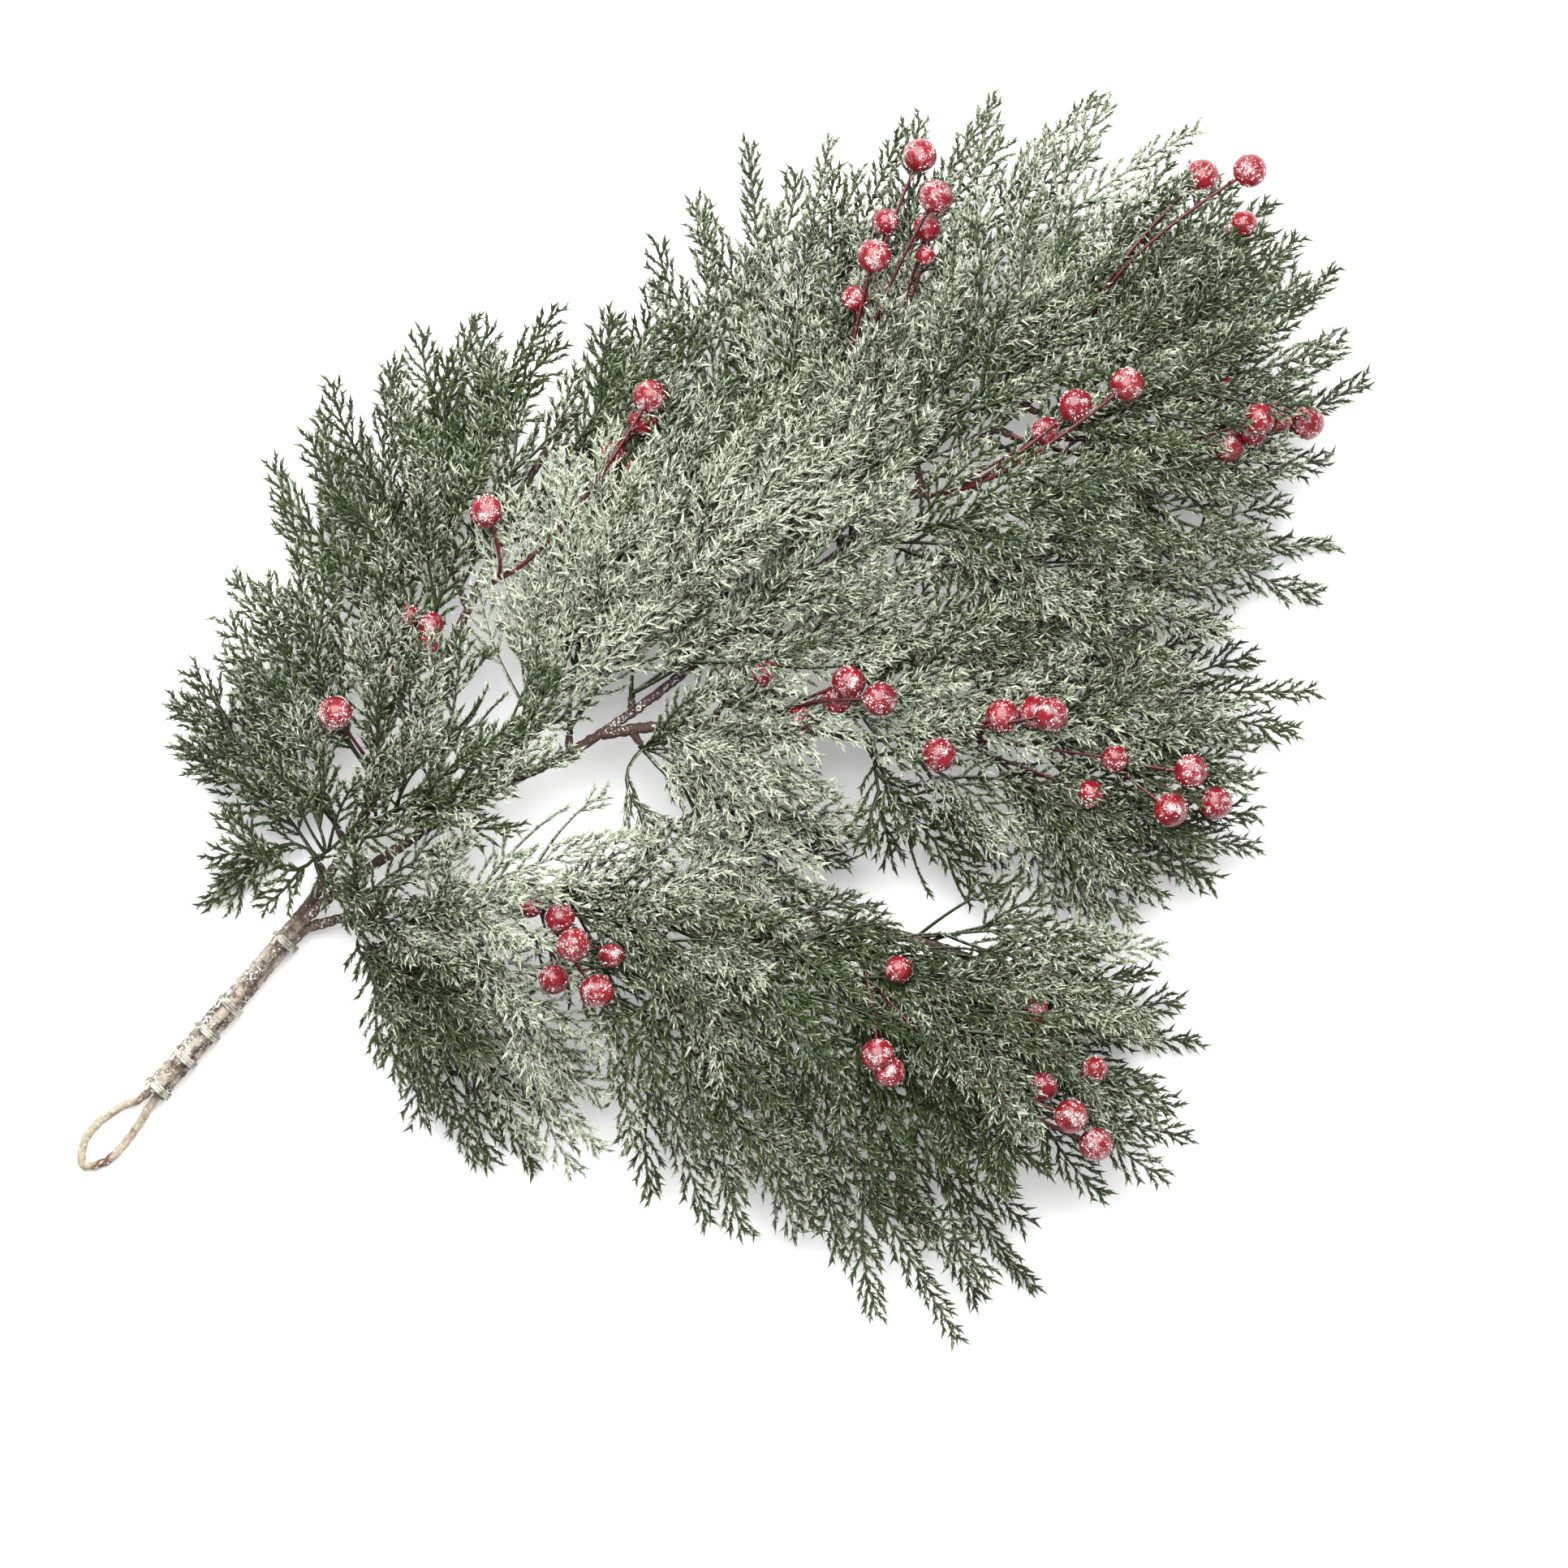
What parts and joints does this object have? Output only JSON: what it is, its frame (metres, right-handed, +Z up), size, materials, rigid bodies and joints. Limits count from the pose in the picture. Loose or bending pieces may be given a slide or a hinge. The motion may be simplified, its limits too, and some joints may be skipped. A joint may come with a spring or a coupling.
{
  "type": "artificial juniper berry sprig",
  "caption": "Frosted artificial juniper sprig with red berries that lies flat: wire branches bound with ties into a handle with a hanging loop.",
  "frame": {"origin": "under the middle of the whole sprig, at the height of the surface it lies on", "axes": "+Y runs along the handle from the loop to the tips, +Z is up from the surface it lies on"},
  "size_m": [0.452, 0.6156, 0.0887],
  "materials": {
    "branch_bark": "brown paper-wrapped wire, rough",
    "loop_paper": "tan paper-wrapped wire, rough",
    "tie_wire": "pale grey-green, satin",
    "berry_red": "crimson under white frost crystals",
    "needle_green": "moulded green under white flock"
  },
  "bodies": {
    "root": {"branch_left": "branch_bark", "branch_centre": "branch_bark", "branch_right": "branch_bark", "hanging_loop": "loop_paper", "tie_1": "tie_wire", "tie_2": "tie_wire", "tie_3": "tie_wire", "tie_4": "tie_wire", "tie_5": "tie_wire", "berries_left_low": "berry_red", "berries_left_high": "berry_red", "berries_centre_left": "berry_red", "berries_centre_top": "berry_red", "berries_centre_right": "berry_red", "berries_centre_mid": "berry_red", "berries_fork_mid": "berry_red", "berries_fork_low": "berry_red", "berries_fork_end": "berry_red", "berries_right_low": "berry_red", "berries_right_end": "berry_red", "spray_left_01": "needle_green", "spray_left_02": "needle_green", "spray_left_03": "needle_green", "spray_left_04": "needle_green", "spray_left_05": "needle_green", "spray_left_06": "needle_green", "spray_left_07": "needle_green", "spray_left_08": "needle_green", "spray_left_09": "needle_green", "spray_centre_01": "needle_green", "spray_centre_02": "needle_green", "spray_centre_03": "needle_green", "spray_centre_04": "needle_green", "spray_centre_05": "needle_green", "spray_centre_06": "needle_green", "spray_centre_07": "needle_green", "spray_centre_08": "needle_green", "spray_centre_09": "needle_green", "spray_centre_10": "needle_green", "spray_centre_11": "needle_green", "spray_centre_12": "needle_green", "spray_centre_13": "needle_green", "spray_centre_14": "needle_green", "spray_fork_01": "needle_green", "spray_fork_02": "needle_green", "spray_fork_03": "needle_green", "spray_fork_04": "needle_green", "spray_fork_05": "needle_green", "spray_fork_06": "needle_green", "spray_fork_07": "needle_green", "spray_right_01": "needle_green", "spray_right_02": "needle_green", "spray_right_03": "needle_green", "spray_right_04": "needle_green", "spray_right_05": "needle_green", "spray_right_06": "needle_green", "spray_right_07": "needle_green", "spray_right_08": "needle_green", "spray_right_09": "needle_green", "spray_right_10": "needle_green"}
  },
  "joints": []
}
